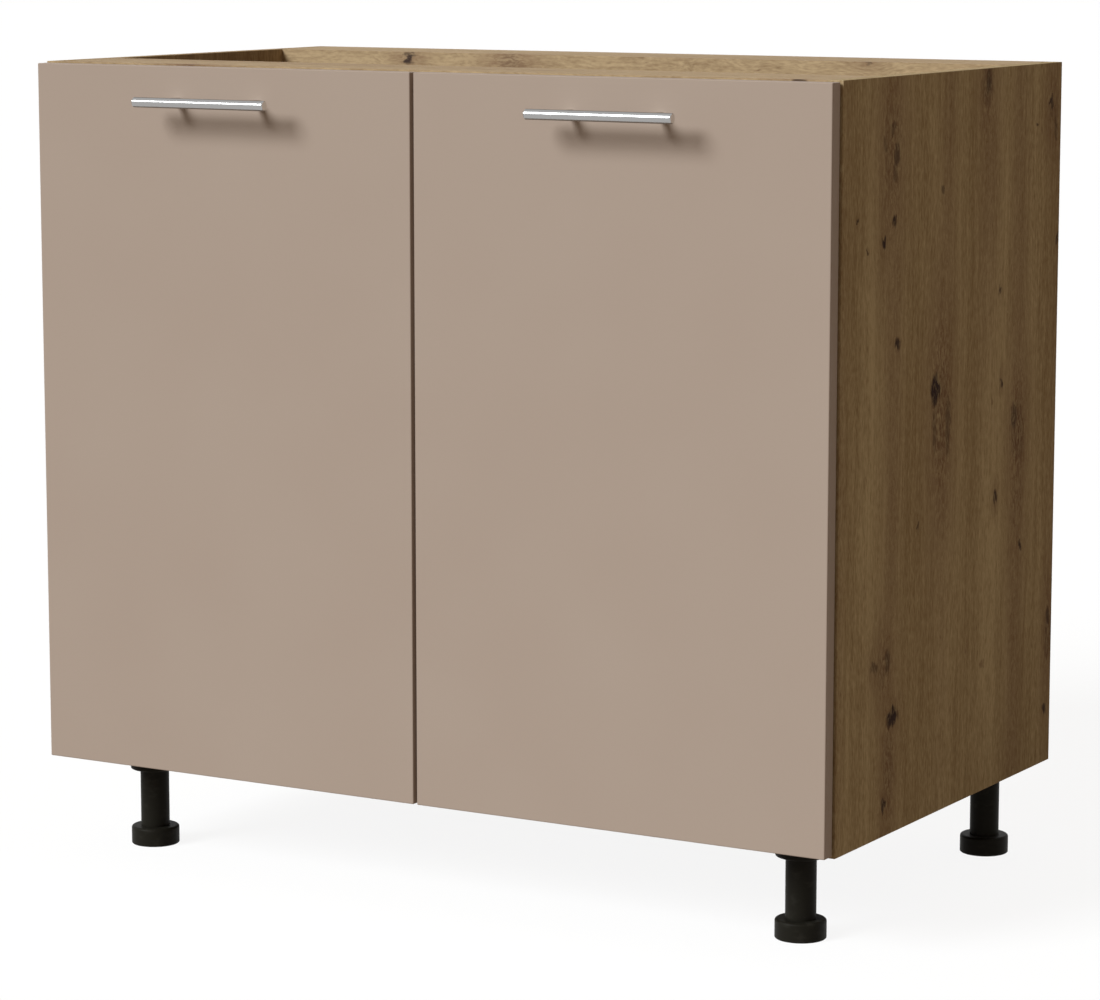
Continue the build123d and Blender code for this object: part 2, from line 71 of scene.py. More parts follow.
# Grain of the oak: size of its marks across, along and through a board in millimetres, detail and weight
SWAY = ((75, 430, 75), 2.0, 26.0)
GRAIN = (
    ((52, 900, 52), 2.0, 1.2),
    ((7, 150, 7), 3.0, 1.0),
    ((2.2, 46, 2.2), 2.0, 0.9),
    ((1.9, 8, 1.9), 2.0, 1.6),
)
GRAIN_START = -1.85
FIGURE = ((3, 120, 3), 2.0, 0.7)
FIGURE_LOSS = 0.3
# Fibres of the bare back board, written in the same way
FIBRES = ((4, 4, 4), 6.0, 2.6)
FIBRE_START = -0.8
# Other marks of the oak: size in millimetres and detail
CURL = ((34, 64, 34), 1.0)
RAGGED = ((6, 15, 6), 4.0)
PORES = ((0.9, 17, 0.9), 1.0)
MOTTLE = ((2.6, 9, 2.6), 4.0)
FLECKS = ((9, 24, 9), 3.0)
RELIEF = ((1.2, 40, 1.2), 2.0)
# How far ragged edges reach, and how far the grain curls in each rail, in millimetres
RAGGED_REACH = (13.0, 26.0, 6.0)
RAIL_CURLS = {"front_rail": 14.0, "rear_rail": 20.0}
# Spans of noise that turn into shares: start, end, share at the start and at the end
PORE_SPAN = (0.6, 0.78, 0.0, 0.4)
FLECK_SPAN = (0.68, 0.78, 0.0, 0.55)
CLEAR_SPAN = (0.62, 0.38, 0.0, 0.85)
CORE_SPAN = (0.3, 0.5, 0.5, 1.0)
# The span that most of a noise lies in, and its middle for three values at once
NOISE_SPAN = (0.3, 0.7)
NOISE_MIDDLE = (0.5, 0.5, 0.5)
# A knot, in its own half sizes: squared distance where its dark core starts and where it is full,
# how fast its stain falls off across, along and through the board, and its push on the grain
KNOT_EDGE = (1.5, 0.2)
STAIN_FALL = (0.67, 0.32, 0.67)
GRAIN_PUSH = -0.75
KNOT_RESULTS = ("Shift", "Core", "Stain")
# Gloss of the boards and the rails, and how squarely a face looks along an axis to count as facing it
BOARD_GLOSS = 0.02
RAIL_GLOSS = 0.2
FACING = 0.7
BAR_END_FACING = 0.8

# Knots and streaks of the two sides, in millimetres from the front edge and above the foot:
# across, along, half width, half height, strength of the dark core, strength of the stain
RIGHT_SIDE_KNOTS = (
    (318, 704, 15, 20, 0.25, 0.90),
    (320, 706, 7, 12, 0.70, 0.60),
    (480, 674, 14, 17, 0.15, 0.80),
    (475, 680, 7, 5, 0.85, 0.70),
    (487, 654, 5, 12, 0.50, 0.70),
    (440, 660, 3, 3, 0.70, 0.20),
    (105, 655, 21, 44, 0.08, 0.85),
    (106, 672, 7, 8, 0.45, 0.50),
    (114, 646, 7, 11, 0.60, 0.50),
    (90, 657, 5, 8, 0.35, 0.50),
    (111, 630, 6, 9, 0.40, 0.50),
    (111, 586, 5, 8, 0.90, 0.60),
    (88, 567, 6, 7, 1.00, 0.60),
    (32, 590, 3, 3, 0.80, 0.20),
    (54, 560, 3, 3, 0.80, 0.20),
    (218, 609, 3, 4, 0.50, 0.20),
    (497, 542, 4, 6, 0.85, 0.60),
    (356, 500, 4, 4, 0.75, 0.40),
    (121, 469, 6, 8, 0.90, 0.80),
    (207, 417, 11, 14, 1.00, 0.90),
    (221, 394, 21, 48, 0.12, 0.95),
    (236, 380, 6, 32, 0.45, 0.70),
    (206, 378, 5, 26, 0.40, 0.60),
    (363, 409, 4, 5, 0.90, 0.60),
    (404, 354, 18, 32, 0.20, 0.95),
    (395, 370, 8, 14, 0.60, 0.60),
    (405, 290, 14, 44, 0.06, 0.75),
    (352, 296, 6, 6, 0.85, 0.60),
    (415, 238, 5, 5, 0.85, 0.60),
    (171, 289, 3, 3, 0.70, 0.20),
    (101, 165, 15, 18, 0.15, 0.85),
    (108, 167, 6, 10, 0.55, 0.60),
    (78, 166, 8, 7, 0.50, 0.70),
    (119, 113, 13, 9, 1.00, 0.80),
    (112, 66, 13, 40, 0.10, 0.85),
    (103, 31, 6, 7, 0.90, 0.80),
    (484, 58, 5, 5, 0.85, 0.50),
    (490, 135, 10, 30, 0.25, 0.85),
    (490, 152, 5, 8, 0.70, 0.60),
    (112, 620, 13, 150, 0.00, 0.55),
    (114, 390, 12, 130, 0.00, 0.50),
    (112, 80, 12, 170, 0.00, 0.45),
    (230, 520, 12, 140, 0.00, 0.45),
    (404, 250, 14, 160, 0.00, 0.55),
    (396, 560, 12, 150, 0.00, 0.40),
    (326, 660, 18, 70, 0.00, 0.50),
    (500, 360, 8, 400, 0.00, 0.35),
    (2, 360, 8, 400, 0.00, 0.30),
)
LEFT_SIDE_KNOTS = (
    (70, 640, 6, 12, 0.80, 0.70),
    (152, 582, 4, 7, 0.90, 0.50),
    (298, 655, 8, 20, 0.50, 0.80),
    (388, 612, 5, 8, 0.90, 0.60),
    (430, 520, 11, 32, 0.35, 0.90),
    (236, 470, 10, 16, 1.00, 0.90),
    (226, 438, 12, 30, 0.30, 0.80),
    (118, 402, 4, 7, 0.80, 0.50),
    (344, 338, 6, 10, 0.95, 0.70),
    (64, 268, 7, 24, 0.50, 0.80),
    (205, 210, 11, 10, 1.00, 0.80),
    (412, 176, 5, 7, 0.85, 0.60),
    (286, 92, 6, 8, 0.90, 0.70),
    (132, 60, 5, 22, 0.30, 0.80),
    (310, 420, 12, 130, 0.00, 0.40),
    (150, 330, 10, 110, 0.00, 0.40),
)
# Knots of the shelf, the cabinet's floor and the back, each from one corner:
# across the grain, along it, half width, half length, and the two strengths
SHELF_KNOTS = (
    (96, 140, 7, 10, 0.95, 0.80),
    (310, 232, 12, 30, 0.40, 0.90),
    (180, 402, 5, 7, 0.90, 0.60),
    (392, 486, 9, 14, 1.00, 0.85),
    (70, 560, 13, 44, 0.12, 0.85),
    (246, 668, 6, 9, 0.85, 0.70),
    (140, 770, 5, 8, 0.90, 0.60),
    (354, 800, 11, 26, 0.50, 0.85),
    (214, 420, 14, 190, 0.00, 0.45),
    (60, 640, 12, 180, 0.00, 0.40),
)
FLOOR_KNOTS = (
    (120, 96, 10, 26, 0.45, 0.90),
    (60, 288, 5, 8, 0.95, 0.60),
    (270, 340, 8, 12, 1.00, 0.85),
    (170, 512, 6, 9, 0.90, 0.70),
    (402, 606, 12, 34, 0.30, 0.90),
    (88, 700, 8, 12, 0.95, 0.80),
    (330, 790, 5, 8, 0.85, 0.60),
    (150, 600, 13, 190, 0.00, 0.45),
    (300, 200, 13, 170, 0.00, 0.40),
)
BACK_KNOTS = (
    (92, 610, 9, 15, 1.00, 0.85),
    (210, 520, 13, 40, 0.20, 0.90),
    (318, 634, 5, 8, 0.90, 0.60),
    (420, 470, 6, 10, 0.95, 0.70),
    (548, 590, 12, 32, 0.35, 0.90),
    (655, 655, 5, 8, 0.85, 0.60),
    (742, 528, 8, 13, 1.00, 0.80),
    (160, 260, 7, 11, 0.90, 0.75),
    (300, 150, 11, 28, 0.40, 0.90),
    (486, 245, 5, 8, 0.95, 0.60),
    (600, 110, 8, 14, 0.90, 0.80),
    (790, 190, 12, 34, 0.25, 0.90),
    (250, 400, 14, 220, 0.00, 0.45),
    (560, 360, 14, 240, 0.00, 0.45),
)
# Knots of the rails: from the left end, below the top, half size, and the two strengths
REAR_RAIL_KNOTS = (
    (166, 7, 7, 0.95, 0.80),
    (293, 8, 12, 0.15, 0.80),
    (715, 0, 5, 0.50, 0.50),
)
FRONT_RAIL_KNOTS = (
    (161, 0, 13, 0.20, 0.85),
    (837, 0, 8, 0.80, 0.60),
)

# Light, floor and camera
LAMP_STRENGTH = 3.33
LAMP_COLOUR = (0.918, 0.972, 1.0)
LAMP_SPREAD = math.radians(26.5)
LAMP_FROM = (-0.40, -0.766, 0.535)
ROOM_GLOW = (0.248, 0.202, 0.158, 1.0)
SURROUND = (1.0, 1.0, 1.0, 1.0)
FLOOR_HALF_WIDTH = 60.0
FLOOR_CLEAR = (0.9, 0.9, 0.9, 1.0)
FLOOR_SHADED = (0.14, 0.14, 0.14, 1.0)
FLOOR_BOUNCE = (0.33, 0.27, 0.21, 1.0)
SENSOR_WIDTH = 36.0
LENS = 127.2
CAMERA_X = 2.00291
CAMERA_BEFORE_DOORS = 3.15101
CAMERA_HEIGHT = 0.97275
CAMERA_TILT = 0.1509
CAMERA_TURN = 0.5307


def tint(colour):
    """A written colour as the light values that a shader takes, by the usual curve of screens."""
    shares = [part / 255 for part in colour]
    return tuple(s / 12.92 if s <= 0.04045 else ((s + 0.055) / 1.055) ** 2.4 for s in shares) + (1.0,)


def blank_tree(owner):
    """The emptied node tree of a material or a world."""
    owner.use_nodes = True
    owner.node_tree.nodes.clear()
    return owner.node_tree


def set_out(name, data):
    """A new object in the scene."""
    thing = bpy.data.objects.new(name, data)
    bpy.context.scene.collection.objects.link(thing)
    return thing


class Wiring:
    """A node tree: plain values go straight to sockets, node outputs are linked."""

    def __init__(self, tree):
        self.tree = tree

    def feed(self, socket, value):
        if isinstance(value, bpy.types.NodeSocket):
            self.tree.links.new(value, socket)
        else:
            socket.default_value = value

    def add(self, kind, inputs=(), **settings):
        """A node with its settings, and its inputs by name or by number."""
        node = self.tree.nodes.new(kind)
        for key, value in settings.items():
            setattr(node, key, value)
        for key, value in dict(inputs).items():
            self.feed(node.inputs[key], value)
        return node

    def math(self, operation, *values):
        return self.add("ShaderNodeMath", enumerate(values), operation=operation).outputs[0]

    def times(self, first, second):
        return self.math("MULTIPLY", first, second)

    def faces(self, part, least=FACING):
        """1 where a part of the surface's facing is more than this, and 0 elsewhere."""
        return self.math("GREATER_THAN", part, least)

    def vector(self, operation, *values):
        outputs = self.add("ShaderNodeVectorMath", enumerate(values), operation=operation).outputs
        return outputs["Value" if operation == "DOT_PRODUCT" else "Vector"]

    def split(self, value):
        return self.add("ShaderNodeSeparateXYZ", {0: value}).outputs

    def join(self, *values):
        return self.add("ShaderNodeCombineXYZ", enumerate(values)).outputs[0]

    def ease(self, value, low, high, to_low=0.0, to_high=1.0):
        """A value eased from one span into another."""
        inputs = enumerate((value, low, high, to_low, to_high))
        return self.add("ShaderNodeMapRange", inputs, interpolation_type="SMOOTHSTEP").outputs[0]


class Finish(Wiring):
    """One surface: a principled shader and the pattern that feeds it."""

    def __init__(self, name, **settings):
        self.material = bpy.data.materials.new(name)
        super().__init__(blank_tree(self.material))
        self.shader = self.add("ShaderNodeBsdfPrincipled")
        self.add("ShaderNodeOutputMaterial", {"Surface": self.shader.outputs[0]})
        self.set(**settings)

    def set(self, **settings):
        """Inputs of the shader by name, with _ for a space."""
        for key, value in settings.items():
            self.feed(self.shader.inputs[key.replace("_", " ")], value)

    def places(self):
        """Places on the piece in millimetres, and the way its surface faces."""
        outputs = self.add("ShaderNodeTexCoord").outputs
        return self.vector("MULTIPLY", outputs["Object"], (MM, MM, MM)), outputs["Normal"]

    def noise(self, where, grains, detail=2.0, result="Fac"):
        """Cloudy noise with grains of these three sizes in millimetres."""
        fine = self.vector("DIVIDE", where, grains)
        inputs = {"Vector": fine, "Scale": 1.0, "Detail": detail}
        return self.add("ShaderNodeTexNoise", inputs).outputs[result]

    def layer(self, under, where, grains, detail, weight):
        """A value with a layer of noise on top."""
        return self.math("MULTIPLY_ADD", self.noise(where, grains, detail), weight, under)

    def spread(self, first, second, gain):
        """The mean of two noises, spread about its middle."""
        return self.math("MULTIPLY_ADD", self.math("ADD", first, second), gain, 0.5 - gain)

    def blend(self, share, first, second):
        inputs = {0: share, 6: first, 7: second}
        return self.add("ShaderNodeMix", inputs, data_type="RGBA").outputs[2]

    def shade(self, share, pair):
        """A colour between a pair's dark one and its light one."""
        light, dark = pair
        return self.blend(share, tint(dark), tint(light))

    def choose(self, share, first, second):
        """One of two places, by a share of 0 or 1."""
        inputs = {0: share, 4: first, 5: second}
        return self.add("ShaderNodeMix", inputs, data_type="VECTOR").outputs[1]

    def roughen(self, noise, smooth, rough):
        """Roughness between two levels, by a noise."""
        self.set(Roughness=self.ease(noise, *NOISE_SPAN, smooth, rough))

    def bump(self, height, strength, depth):
        inputs = {"Strength": strength, "Distance": depth, "Height": height}
        self.set(Normal=self.add("ShaderNodeBump", inputs).outputs[0])


def knot_group():
    """One knot: how it bends the grain, its dark core and the stain that runs from it along the grain."""
    tree = bpy.data.node_groups.new("knot", "ShaderNodeTree")
    for label in ("Where", "Place", "Stretch"):
        tree.interface.new_socket(label, in_out="INPUT", socket_type="NodeSocketVector")
    for label in ("Dark", "Brown") + KNOT_RESULTS:
        tree.interface.new_socket(label, in_out="INPUT", socket_type="NodeSocketFloat")
    for label in KNOT_RESULTS:
        tree.interface.new_socket(label, in_out="OUTPUT", socket_type="NodeSocketFloat")
    knot = Wiring(tree)
    given = knot.add("NodeGroupInput").outputs
    offset = knot.vector("SUBTRACT", given["Where"], given["Place"])
    near = knot.vector("MULTIPLY", offset, given["Stretch"])
    core = knot.times(knot.ease(knot.vector("DOT_PRODUCT", near, near), *KNOT_EDGE), given["Dark"])
    far = knot.vector("MULTIPLY", near, STAIN_FALL)
    fade = knot.math("EXPONENT", knot.times(knot.vector("DOT_PRODUCT", far, far), -1.0))
    aside = knot.times(knot.split(offset)[0], fade)
    inputs = {
        "Shift": knot.math("MULTIPLY_ADD", aside, GRAIN_PUSH, given["Shift"]),
        "Core": knot.math("MAXIMUM", given["Core"], core),
        "Stain": knot.math("MAXIMUM", given["Stain"], knot.times(fade, given["Brown"])),
    }
    knot.add("NodeGroupOutput", inputs)
    return tree


KNOT = knot_group()


def board_places(finish, grain):
    """Places across, along and through a board; on its end edges the grain runs along the edge."""
    where, facing = finish.places()
    x, y, z = finish.split(where)
    facing_x, _, facing_z = finish.split(facing)
    if grain == "upright":
        plain, end, towards_end = finish.join(y, z, x), finish.join(x, y, z), facing_z
    else:
        plain, end, towards_end = finish.join(y, x, z), finish.join(z, y, x), facing_x
    on_end = finish.faces(finish.math("ABSOLUTE", towards_end))
    return finish.choose(on_end, plain, end)


def oak(name, grain, knots, colours=OAK, curl=0.0):
    """Matt oak decor: fine lines and soft bands that flow round small dark knots, curled in the rails."""
    finish = Finish(name, Roughness=0.7, Specular_IOR_Level=RAIL_GLOSS if curl else BOARD_GLOSS)
    where = board_places(finish, grain)
    ragged = finish.vector("SUBTRACT", finish.noise(where, *RAGGED, result="Color"), NOISE_MIDDLE)
    rough_place = finish.vector("MULTIPLY_ADD", ragged, RAGGED_REACH, where)
    gathered = dict.fromkeys(KNOT_RESULTS, 0.0)
    for knot in knots:
        inputs = {"Where": rough_place, **knot, **gathered}
        outputs = finish.add("ShaderNodeGroup", inputs, node_tree=KNOT).outputs
        gathered = {label: outputs[label] for label in KNOT_RESULTS}
    sway = finish.layer(gathered["Shift"], where, *SWAY)
    if curl:
        sway = finish.layer(sway, where, *CURL, curl)
    flow = finish.vector("ADD", where, finish.join(sway, 0.0, sway))
    tone = GRAIN_START
    for marks in GRAIN:
        tone = finish.layer(tone, flow, *marks)
    if curl:
        tone = finish.layer(finish.math("SUBTRACT", tone, FIGURE_LOSS), flow, *FIGURE)
    colour = finish.shade(tone, colours)
    pores = finish.ease(finish.noise(flow, *PORES), *PORE_SPAN)
    colour = finish.blend(pores, colour, tint(OAK_PORE))
    flecks = finish.ease(finish.noise(flow, *FLECKS), *FLECK_SPAN)
    colour = finish.blend(flecks, colour, tint(OAK_STAIN))
    mottle = finish.noise(rough_place, *MOTTLE)
    stain = gathered["Stain"]
    spared = finish.times(finish.times(stain, stain), finish.ease(mottle, *CLEAR_SPAN))
    colour = finish.blend(finish.math("SUBTRACT", stain, spared), colour, tint(OAK_STAIN))
    core = finish.times(gathered["Core"], finish.ease(mottle, *CORE_SPAN))
    finish.set(Base_Color=finish.blend(core, colour, tint(OAK_KNOT)))
    finish.bump(finish.noise(where, *RELIEF), 0.12, 0.0002)
    return finish


def board_knots(node, knots, grain, across_x=False):
    """A board's knots as places in it, all the way through; a back has them spread along X."""
    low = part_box(node)[0] * MM
    side = low.x if across_x else low.y
    start = low.z if grain == "upright" else low.x
    rows = []
    for across, along, half_width, half_length, dark, brown in knots:
        place = (side + across, start + along, 0.0)
        stretch = (1 / half_width, 1 / half_length, 0.0)
        if across_x:
            place, stretch = place[::-1], stretch[::-1]
        rows.append({"Place": place, "Stretch": stretch, "Dark": dark, "Brown": brown})
    return rows


def rail_knots(node, knots):
    """A rail's knots at its upper front edge, as places in its board."""
    low, high = [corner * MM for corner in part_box(node)]
    rows = []
    for along, down, half, dark, brown in knots:
        place = (low.y, low.x + along, high.z - down)
        stretch = (1 / half, 1 / half, 1 / half)
        rows.append({"Place": place, "Stretch": stretch, "Dark": dark, "Brown": brown})
    return rows


def door_front(side):
    """Matt taupe facing with a fine grain and a hairline where the edge band meets it."""
    edge_band = 1.0
    hairline = (0.12, 0.0, 0.0, 0.25)
    finish = Finish("taupe_" + side, Specular_IOR_Level=0.08)
    where, _ = finish.places()
    low, high = [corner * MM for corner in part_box("door_" + side)]
    middle = (low + high) / 2
    half = (high - low) / 2
    x, _, z = finish.split(finish.vector("ABSOLUTE", finish.vector("SUBTRACT", where, tuple(middle))))
    inset_x = finish.math("SUBTRACT", half.x, x)
    inset_z = finish.math("SUBTRACT", half.z, z)
    past_band = finish.math("SUBTRACT", finish.math("MINIMUM", inset_x, inset_z), edge_band)
    seam = finish.ease(finish.math("ABSOLUTE", past_band), *hairline)
    cloud = finish.noise(where, (130, 130, 130), 1.0)
    speck = finish.noise(where, (0.9, 0.9, 0.9), 1.0)
    colour = finish.shade(finish.spread(cloud, speck, 1.2), TAUPE)
    finish.set(Base_Color=finish.blend(seam, colour, tint(SEAM)))
    finish.roughen(speck, 0.5, 0.62)
    finish.bump(speck, 0.05, 0.0001)
    return finish


def brushed(name, colours, grains, roughness):
    """Steel with fine lines: grain sizes in millimetres along X, Y and Z, and about how rough it is."""
    finish = Finish(name, Metallic=1.0)
    where, _ = finish.places()
    lines = finish.noise(where, grains)
    cloud = finish.noise(where, (24, 24, 24))
    finish.set(Base_Color=finish.shade(finish.spread(lines, cloud, 1.4), colours))
    finish.roughen(lines, roughness - 0.05, roughness + 0.07)
    finish.bump(lines, 0.06, 0.00005)
    return finish


def handle_steel():
    """Satin bar steel, its end faces turned bright."""
    finish = Finish("satin_bar", Metallic=1.0, Specular_Tint=(0.55, 0.55, 0.55, 1.0))
    where, facing = finish.places()
    lines = finish.noise(where, (600, 0.15, 0.15))
    on_end = finish.faces(finish.math("ABSOLUTE", finish.split(facing)[0]), BAR_END_FACING)
    finish.set(Base_Color=finish.blend(on_end, finish.shade(lines, BAR_STEEL), tint(BAR_END)))
    finish.roughen(lines, 0.14, 0.19)
    return finish


def moulded_plastic():
    """Black plastic with a fine spark-eroded grain and a slight wear."""
    finish = Finish("black_plastic", Specular_IOR_Level=0.05)
    where, _ = finish.places()
    grain = finish.noise(where, (0.5, 0.5, 0.5))
    wear = finish.ease(finish.noise(where, (16, 16, 9), 4.0), 0.5, 0.75)
    finish.set(Base_Color=finish.shade(wear, BLACK_PLASTIC))
    finish.roughen(grain, 0.42, 0.58)
    finish.bump(grain, 0.12, 0.0001)
    return finish


def beech():
    """Dowel wood with its short grain along the dowel."""
    finish = Finish("beech", Roughness=0.7, Specular_IOR_Level=0.1)
    where, _ = finish.places()
    flecks = finish.noise(where, (9, 0.6, 0.6))
    finish.set(Base_Color=finish.shade(flecks, BEECH))
    finish.bump(flecks, 0.1, 0.0001)
    return finish


def soft_pad():
    """Cloudy soft plastic of the door pads."""
    finish = Finish("soft_pad", Roughness=0.35, Specular_IOR_Level=0.3)
    where, _ = finish.places()
    cloud = finish.noise(where, (2.5, 2.5, 2.5))
    finish.set(Base_Color=finish.shade(cloud, SOFT_PLASTIC))
    finish.bump(cloud, 0.05, 0.0001)
    return finish


def back_board():
    """The back: oak decor inside, bare brown fibre board outside."""
    finish = oak("oak_back", "upright", board_knots("back_panel", BACK_KNOTS, "upright", across_x=True))
    where, facing = finish.places()
    bare = finish.shade(finish.layer(FIBRE_START, where, *FIBRES), HARDBOARD)
    outside = finish.faces(finish.split(facing)[1])
    decor = finish.shader.inputs["Base Color"].links[0].from_socket
    finish.set(Base_Color=finish.blend(outside, decor, bare))
    return finish


def dress(finish, *nodes):
    """Gives parts of the cabinet a finish, by their names."""
    for node in nodes:
        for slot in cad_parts[node].material_slots:
            slot.material = finish.material


def dress_boards():
    """Finishes of the carcass and the doors."""
    # The right side takes the paler, yellower oak as a painted shade tint; the other boards share one oak
    for node, knots, grain, colours in (("side_panel_right", RIGHT_SIDE_KNOTS, "upright", SHADE_TINTED_OAK),
                                        ("side_panel_left", LEFT_SIDE_KNOTS, "upright", OAK),
                                        ("shelf", SHELF_KNOTS, "level", OAK),
                                        ("bottom_panel", FLOOR_KNOTS, "level", OAK)):
        dress(oak("oak_" + node, grain, board_knots(node, knots, grain), colours), node)
    for node, knots in (("front_rail", FRONT_RAIL_KNOTS), ("rear_rail", REAR_RAIL_KNOTS)):
        dress(oak("oak_" + node, "level", rail_knots(node, knots), curl=RAIL_CURLS[node]), node)
    dress(back_board(), "back_panel")
    for side in SIDES:
        dress(door_front(side), "door_" + side)
    dress(beech(), "dowels")


def dress_fittings():
    """Finishes of handles, hinges, pins and legs; gives back those of the cam locks and the screws."""
    bar_steel = handle_steel()
    post_steel = brushed("bright_post", POST_STEEL, (0.3, 6, 0.3), 0.2)
    hinge_steel = brushed("nickel_hinge", NICKEL, (0.5, 12, 0.5), 0.3)
    pin_steel = brushed("bright_pin", NICKEL, (0.4, 0.4, 6), 0.24)
    zinc = brushed("cast_zinc", ZINC, (1.1, 1.1, 1.1), 0.42)
    plastic = moulded_plastic()
    pad = soft_pad()
    dress(pin_steel, "shelf_pins", "hinge_arm_pins")
    dress(zinc, "cam_bolts")
    for side in SIDES:
        dress(bar_steel, "handle_bar_" + side)
        dress(post_steel, "handle_posts_" + side)
        dress(hinge_steel, "hinge_plates_" + side)
        dress(pin_steel, "cup_pins_" + side)
        dress(pad, "door_bumpers_" + side)
        for level in LEVELS:
            place = "_" + level + "_" + side
            dress(hinge_steel, "hinge_arm" + place, "hinge_cup" + place)
            dress(hinge_steel, "inner_link" + place, "outer_link" + place)
    for corner in CORNERS:
        dress(plastic, "leg_column_" + corner, "foot_spindle_" + corner, "foot_pad_" + corner)
    return zinc, brushed("zinc_screw", ZINC, (0.6, 0.6, 0.6), 0.3)


class Shapes(Wiring):
    """A geometry tree that sets one small shape at marked places."""

    def __init__(self, name, *sizes):
        super().__init__(bpy.data.node_groups.new(name, "GeometryNodeTree"))
        ports = self.tree.interface
        ports.new_socket("Places", in_out="INPUT", socket_type="NodeSocketGeometry")
        for size in sizes:
            ports.new_socket(size, in_out="INPUT", socket_type="NodeSocketFloat")
        ports.new_socket("Finish", in_out="INPUT", socket_type="NodeSocketMaterial")
        ports.new_socket("Pieces", in_out="OUTPUT", socket_type="NodeSocketGeometry")
        self.given = self.add("NodeGroupInput").outputs

    def moved(self, shape, place=(0, 0, 0), stretch=(1, 1, 1)):
        inputs = {"Geometry": shape, "Translation": place, "Scale": stretch}
        return self.add("GeometryNodeTransform", inputs).outputs[0]

    def block(self, width, length, height, centre_z):
        """A block on the axis, its middle at this height."""
        cube = self.add("GeometryNodeMeshCube", {"Size": self.join(width, length, height)}).outputs[0]
        return self.moved(cube, self.join(0.0, 0.0, centre_z))

    def cross(self, width, reach, depth, centre_z):
        """Two crossed blocks that cut a driver recess."""
        return self.block(width, reach, depth, centre_z), self.block(reach, width, depth, centre_z)

    def rod(self, radius, length, centre_z, faces):
        inputs = {"Vertices": faces, "Radius": radius, "Depth": length}
        cylinder = self.add("GeometryNodeMeshCylinder", inputs).outputs[0]
        return self.moved(cylinder, self.join(0.0, 0.0, centre_z))

    def without(self, shape, *cutters):
        node = self.add("GeometryNodeMeshBoolean", {"Mesh 1": shape}, operation="DIFFERENCE")
        for cutter in cutters:
            self.tree.links.new(cutter, node.inputs["Mesh 2"])
        return node.outputs[0]

    def joined(self, *shapes):
        node = self.add("GeometryNodeJoinGeometry")
        for shape in shapes:
            self.tree.links.new(shape, node.inputs[0])
        return node.outputs[0]

    def close(self, shape):
        """The shape at every place, turned to its facing, as one mesh with crisp edges and its finish."""
        crease = math.radians(32)
        inputs = {"Name": "facing"}
        facing = self.add("GeometryNodeInputNamedAttribute", inputs, data_type="FLOAT_VECTOR").outputs[0]
        turn = self.add("FunctionNodeAlignRotationToVector", {"Vector": facing}, axis="Z").outputs[0]
        inputs = {"Points": self.given["Places"], "Instance": shape, "Rotation": turn}
        placed = self.add("GeometryNodeInstanceOnPoints", inputs).outputs[0]
        real = self.add("GeometryNodeRealizeInstances", {0: placed}).outputs[0]
        smooth = self.add("GeometryNodeSetShadeSmooth", {"Geometry": real}).outputs[0]
        angle = self.add("GeometryNodeInputMeshEdgeAngle").outputs[0]
        sharp = self.math("GREATER_THAN", angle, crease)
        inputs = {"Geometry": smooth, "Selection": sharp, "Shade Smooth": False}
        crisp = self.add("GeometryNodeSetShadeSmooth", inputs, domain="EDGE").outputs[0]
        inputs = {"Geometry": crisp, "Material": self.given["Finish"]}
        finished = self.add("GeometryNodeSetMaterial", inputs).outputs[0]
        self.add("NodeGroupOutput", {0: finished})
        return self.tree


def screw_tree():
    """A screw: domed head on its seat with a cross recess, and a plain shank below."""
    shapes = Shapes("screw", "Head Radius", "Head Height", "Shank Radius", "Shank Length")
    radius, height, shank, length = [shapes.given[i] for i in range(1, 5)]
    ball = shapes.add("GeometryNodeMeshUVSphere", {"Segments": 28, "Rings": 14, "Radius": 1.0}).outputs[0]
    dome = shapes.moved(ball, stretch=shapes.join(radius, radius, height))
    wide = shapes.times(radius, 4.0)
    under = shapes.block(wide, wide, wide, shapes.times(radius, -2.0))
    slot = shapes.times(radius, 0.26)
    reach = shapes.times(radius, 1.1)
    recess = shapes.cross(slot, reach, shapes.times(height, 1.3), height)
    head = shapes.without(dome, under, *recess)
    overlap = shapes.times(height, 0.1)
    below = shapes.math("MULTIPLY_ADD", length, -0.5, overlap)
    return shapes.close(shapes.joined(head, shapes.rod(shank, length, below, 14)))


def cam_tree():
    """A cam lock: a cast disc with a cross recess and a short arrow notch in its face."""
    shapes = Shapes("cam", "Radius", "Height")
    radius, height = shapes.given[1], shapes.given[2]
    disc = shapes.rod(radius, height, shapes.times(height, -0.5), 36)
    slot = shapes.times(radius, 0.2)
    reach = shapes.times(radius, 1.15)
    recess = shapes.cross(slot, reach, shapes.times(height, 0.5), 0.0)
    notch = shapes.block(slot, slot, shapes.times(height, 0.12), 0.0)
    notch = shapes.moved(notch, shapes.join(shapes.times(radius, 0.8), 0.0, 0.0))
    return shapes.close(shapes.without(disc, notch, *recess))


def solids_of(node):
    """Low and high corner of each separate solid of a node, in order of place."""
    weld = 1e-6
    shape = bmesh.new()
    shape.from_mesh(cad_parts[node].data)
    bmesh.ops.remove_doubles(shape, verts=shape.verts, dist=weld)
    waiting = set(shape.verts)
    boxes = []
    while waiting:
        reached = [waiting.pop()]
        for corner in reached:
            fresh = {edge.other_vert(corner) for edge in corner.link_edges} & waiting
            waiting -= fresh
            reached.extend(fresh)
        low = [min(corner.co[axis] for corner in reached) for axis in range(3)]
        high = [max(corner.co[axis] for corner in reached) for axis in range(3)]
        boxes.append((low, high))
    shape.free()
    return [(Vector(low), Vector(high)) for low, high in sorted(boxes)]


def faced(middle, way):
    """The way that a fastener's head looks."""
    if way == "inwards":
        return Vector((-math.copysign(1.0, middle.x), 0.0, 0.0))
    return Vector((0.0, 1.0, 0.0)) if way == "backwards" else Vector((0.0, 0.0, -1.0))


